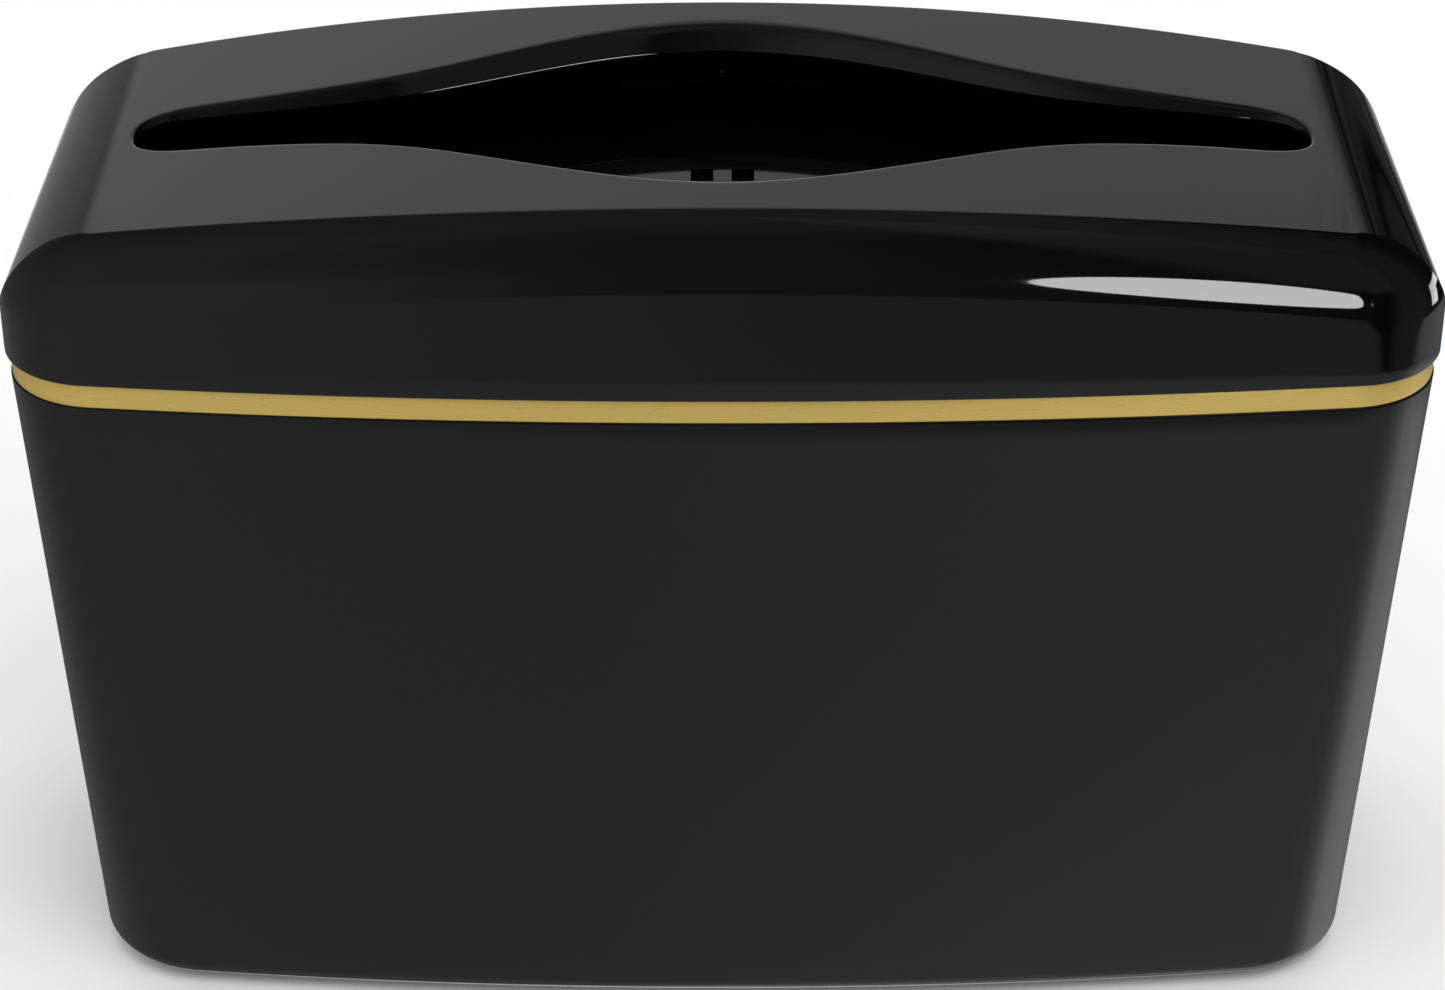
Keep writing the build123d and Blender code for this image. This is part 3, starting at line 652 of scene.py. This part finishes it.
def metal(name, dark, light, roughness, stretch, scale, relief=0.00002, metallic=1.0):
    """Metal whose color, roughness and relief follow one stretched noise."""
    surface = Surface(name)
    streaks = surface.noise(scale, detail=5, roughness=0.6, stretch=stretch)
    surface.color(streaks, dark, light)
    surface.link("Roughness", surface.spread(streaks, span=(0.3, 0.7), to=roughness))
    surface.set("Metallic", metallic)
    surface.bump(streaks, strength=0.3, distance=relief)
    return surface.material


GLOSS, PLATFORM = (
    plastic(name, dark=(0.0007, 0.0007, 0.0008), light=(0.0012, 0.0012, 0.0013),
            roughness=(0.03, 0.05), ior=1.5) for name in ("gloss_black", "platform_black"))
INNER = plastic("inner_black", dark=(0.003, 0.003, 0.0032), light=(0.006, 0.006, 0.0065),
                roughness=(0.38, 0.5), grain=0.00004)
GOLD = metal("satin_gold", dark=(0.61, 0.44, 0.118), light=(0.63, 0.455, 0.124),
             roughness=(0.27, 0.30), stretch=(1, 1, 20), scale=160, relief=0.0000005,
             metallic=0.45)
STEEL = metal("plate_steel", dark=(0.30, 0.30, 0.31), light=(0.44, 0.44, 0.45),
              roughness=(0.3, 0.5), stretch=(1, 14, 1), scale=50)
SPRING = metal("spring_steel", dark=(0.34, 0.33, 0.32), light=(0.5, 0.49, 0.48),
               roughness=(0.2, 0.34), stretch=(1, 1, 3), scale=120)
ZINC = metal("zinc_screw", dark=(0.5, 0.5, 0.52), light=(0.66, 0.66, 0.69),
             roughness=(0.22, 0.36), stretch=(3, 3, 3), scale=300)
RUBBER = plastic("foot_rubber", dark=(0.012, 0.012, 0.012), light=(0.022, 0.022, 0.022),
                 roughness=(0.62, 0.8), grain=0.00006)


# ------------------------------------------------------------------ pieces
def place(ob, material, group, piece):
    ob.data.materials.append(material)
    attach(ob, group)
    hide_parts(piece)


spring_low, spring_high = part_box("lift_spring")
place(build_lid(), GLOSS, "lid", "lid_shell")
tub = build_tub()
band = build_band()
ribs = [build_rib("guide_rib_front", -1), build_rib("guide_rib_rear", 1)]
spring = build_spring(spring_low.z / MM, spring_high.z / MM)
for ob in (tub, *ribs):
    place(ob, GLOSS, "tub", "body_shell")
place(band, GOLD, "tub", "trim_band")
place(spring, SPRING, "tub", "lift_spring")

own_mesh(spring)

CAD_MATERIALS = {
    "lift_platform": PLATFORM, "spring_seat": INNER,
    "guide_rail_left": INNER, "guide_rail_right": INNER,
    "ballast_plate": STEEL, "seat_screws": ZINC, "rail_screws": ZINC,
    "foot_front_left": RUBBER, "foot_front_right": RUBBER,
    "foot_rear_left": RUBBER, "foot_rear_right": RUBBER}
for name, material in CAD_MATERIALS.items():
    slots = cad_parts[name].data.materials
    slots.clear()
    slots.append(material)


# ------------------------------------------------------------------ floor
def build_floor():
    half = 4.0
    mesh = bpy.data.meshes.new("floor")
    mesh.from_pydata([(-half, -half, 0), (half, -half, 0), (half, half, 0), (-half, half, 0)],
                     [], [(0, 1, 2, 3)])
    floor = add_object("floor", mesh)
    surface = Surface("pale_floor")
    surface.color(surface.noise(scale=3, detail=2), dark=(0.90, 0.90, 0.90),
                  light=(0.92, 0.92, 0.92))
    surface.set("Roughness", 0.9)
    surface.set("Specular IOR Level", 0.0)
    mesh.materials.append(surface.material)
    floor.visible_glossy = False


build_floor()

# ------------------------------------------------------------------ world
# An even white room lights the scene; glossy rays see a darker set with panels instead.
world = bpy.data.worlds.new("studio")
bpy.context.scene.world = world
world.use_nodes = True
sky = world.node_tree
sky.nodes.clear()


class Value:
    """One number in the world's node tree, with arithmetic."""
    def __init__(self, socket): self.socket = socket
    def __add__(self, other): return math_node("ADD", self, other)
    def __radd__(self, other): return math_node("ADD", self, other)
    def __sub__(self, other): return math_node("SUBTRACT", self, other)
    def __rsub__(self, other): return math_node("SUBTRACT", other, self)
    def __mul__(self, other): return math_node("MULTIPLY", self, other)


def math_node(operation, first, second=0.0):
    return Value(add_node(sky, "Math", {0: first, 1: second}, operation=operation).outputs[0])


def sine(value):
    return math_node("SINE", value)


def smooth(value, start, stop, low=0.0, high=1.0):
    """Smooth step from low at start to high at stop."""
    return Value(add_node(sky, "MapRange", {
        "Value": value, "From Min": start, "From Max": stop, "To Min": low, "To Max": high},
        interpolation_type="SMOOTHSTEP", clamp=True).outputs[0])


def fade(value, start, stop):
    """Smooth step from 1 at start to 0 at stop."""
    return 1.0 - smooth(value, start, stop)


def within(value, low, high, soft=1.0):
    return smooth(value, low - soft, low + soft) * fade(value, high - soft, high + soft)


def curve(value, stops):
    """Straight lines between (degrees, brightness) stops, brightness up to 4."""
    low, high = stops[0][0], stops[-1][0]
    share = add_node(sky, "MapRange", {"Value": value, "From Min": low, "From Max": high},
                     clamp=True)
    node = add_node(sky, "ValToRGB", {0: share.outputs[0]})
    elements = node.color_ramp.elements
    while len(elements) < len(stops):
        elements.new(0.5)
    for element, (degrees, level) in zip(elements, stops):
        element.position = (degrees - low) / (high - low)
        element.color = (level / 4, level / 4, level / 4, 1)
    return Value(node.outputs[0]) * 4.0


def blend(first, second, share):
    """Mix of two brightnesses, each a Value or a plain number."""
    first, second = (v if isinstance(v, Value) else math_node("ADD", v) for v in (first, second))
    return first * (1.0 - share) + second * share


# Directions in degrees: up is above the horizon; back and front are turned from straight behind
# and straight in front, positive to the right.
DEGREES = 57.2958
direction = add_node(sky, "SeparateXYZ", {0: add_node(sky, "TexCoord").outputs["Generated"]})
x, y, z = (Value(output) for output in direction.outputs)
up = math_node("ARCSINE", z) * DEGREES
back = math_node("ARCTAN2", x, y) * DEGREES
front = math_node("ARCTAN2", x, y * -1.0) * DEGREES


def room_light():
    """The room: a broad soft light on the left, little on the right."""
    left = curve(front, [(-180, 0.30), (-154, 0.30), (-138, 0.18), (-125, 0.18), (-98, 0.29),
                         (-68, 0.37), (-40, 0.43), (0, 0.43)])
    left = left * smooth(up, 0.0, 40.0, low=1.0, high=0.85)
    right = curve(front, [(0, 0.125), (8, 0.105), (16, 0.07), (24, 0.05), (33, 0.02), (48, 0.03),
                          (62, 0.15), (90, 0.12), (104, 0.05), (118, 0.02), (146, 0.02),
                          (154, 0.03), (159, 0.07), (180, 0.20)])
    # uneven streaks, only toward the right and rear
    ripple = sine(back * 2.9) * sine(back * 1.1 + 0.6)
    right = right * (1.0 + ripple * smooth(front, 60.0, 140.0) * 0.8)
    # the change from left to right starts further left the higher it is
    height = math_node("MINIMUM", math_node("MAXIMUM", up, 0.0), 60.0)
    room = blend(left, right, smooth(front, (height * -0.62) - 21.0, -1.0))
    # a patch at the front right, and an even ceiling that is brighter above it
    patch = smooth(front, 20.0, 28.0) * fade(front, 54.0, 62.0)
    room = blend(room, 0.19, patch * smooth(up, 8.0, 20.0))
    return blend(room, blend(0.20, 0.30, patch), smooth(up, 52.0, 80.0))


def table_light():
    """The table it stands on, as the lower faces show it."""
    table = curve(front, [(-180, 0.10), (-158, 0.08), (-142, 0.16), (-128, 0.20), (-98, 0.26),
                          (-68, 0.32), (-46, 0.38), (-22, 0.405), (-6, 0.39), (8, 0.42),
                          (22, 0.44), (38, 0.41), (66, 0.37), (76, 0.46), (98, 0.84),
                          (112, 0.70), (128, 0.49), (142, 0.30), (158, 0.13), (180, 0.10)])
    table = table * smooth(front, -20.0, 40.0, low=1.08, high=1.19)
    # brighter steeply below on the right; a change just under the far edge, darker on the right
    steep = smooth(up, -36.0, -50.0, low=1.0, high=1.22)
    far = blend(1.03, 0.52, smooth(front, -34.0, 16.0))
    return (table * blend(1.0, steep, smooth(front, -20.0, 10.0))
            * smooth(up, -32.5, -27.5, low=1.0, high=far))


def below_table_edge():
    """1 below the table's far edge, whose depth below the horizon varies round the set."""
    edge = (curve(front, [(-180, 3.5), (-20, 4.0), (18, 4.3), (28, 6.0), (42, 7.5), (58, 9.0),
                          (72, 8.8), (88, 7.2), (104, 4.5), (120, 1.5), (180, 1.5)])
            + 20.0) * -1.0
    return fade(up, edge - 0.7, edge + 0.7)


def add_backdrop(base):
    """Tall bright panel behind: streaky to the right, brightest low down, dimmer high up."""
    panel = smooth(back, -21.2, -16.8) * fade(back, 20.0, 22.5) * fade(up, 78.0, 96.0)
    streak = sine(back * 5.3) * sine(back * 13.0 + 1.0)
    tone = curve(back, [(-20, 0.67), (-14, 0.61), (0, 0.535), (13, 0.46), (16.5, 0.44),
                        (18.5, 0.34), (22, 0.15)])
    tone = tone * (1.0 + streak * smooth(back, 16.0, 19.0) * 0.4)
    foot = fade(up, 2.0, 15.0) * smooth(back, -16.0, -12.0) * fade(back, 12.0, 16.0)
    tone = blend(tone, 0.95, foot)
    tone = tone * (1.0 - smooth(up, 46.0, 68.0, high=0.64))
    return blend(base, tone, panel)


def add_side_light(base):
    """Small light to the right and a little behind, with its lower rear corner cut away."""
    corner = smooth(front, 120.0, 122.0) * fade(up, -9.0, -7.0)
    lit = within(front, 108.0, 133.0) * within(up, -18.0, -2.0) * (1.0 - corner)
    return blend(base, 5.0, lit)


GLOSSY_GAIN, ROOM_STRENGTH = 1.2, 1.27
seen = blend(room_light(), table_light(), below_table_edge())
seen = add_side_light(add_backdrop(seen)) * GLOSSY_GAIN
glossy = add_node(sky, "Background", {"Strength": seen})
plain = add_node(sky, "Background", {"Strength": ROOM_STRENGTH})
rays = add_node(sky, "LightPath")
mixed = add_node(sky, "MixShader", {0: rays.outputs["Is Glossy Ray"], 1: plain.outputs[0],
                                    2: glossy.outputs[0]})
add_node(sky, "OutputWorld", {0: mixed.outputs[0]})


# ------------------------------------------------------------------ lights and camera
def area_light(name, location, target, size, power, shape="RECTANGLE", **visibility):
    light = bpy.data.lights.new(name, "AREA")
    light.shape = shape
    light.size, light.size_y = size
    light.energy = power
    ob = add_object(name, light)
    ob.location = location
    aim = Vector(target) - Vector(location)
    ob.rotation_euler = aim.to_track_quat("-Z", "Y").to_euler()
    for key, shown in visibility.items():
        setattr(ob, key, shown)


area_light("key_top", location=(0.5, -0.8, 1.6), target=(0, 0, 0.1), size=(1.0, 1.0), power=6,
           visible_glossy=False)
area_light("soft_box", location=(0.161, -0.277, 0.178), target=(-0.723, 0.1795, 0.078),
           size=(0.174, 0.122), power=0.62, shape="ELLIPSE",
           visible_glossy=True, visible_camera=False, visible_diffuse=False)

lens = bpy.data.cameras.new("cam")
lens.sensor_width = 36
lens.sensor_fit = "HORIZONTAL"
lens.lens = 89.51
lens.clip_start = 0.01
camera = add_object("cam", lens)
camera.location = (0, -0.67925, 0.48730 + BASE_Z * MM)
camera.rotation_euler = (math.radians(60), 0, 0)
bpy.context.scene.camera = camera
bpy.context.scene.view_settings.view_transform = "Standard"
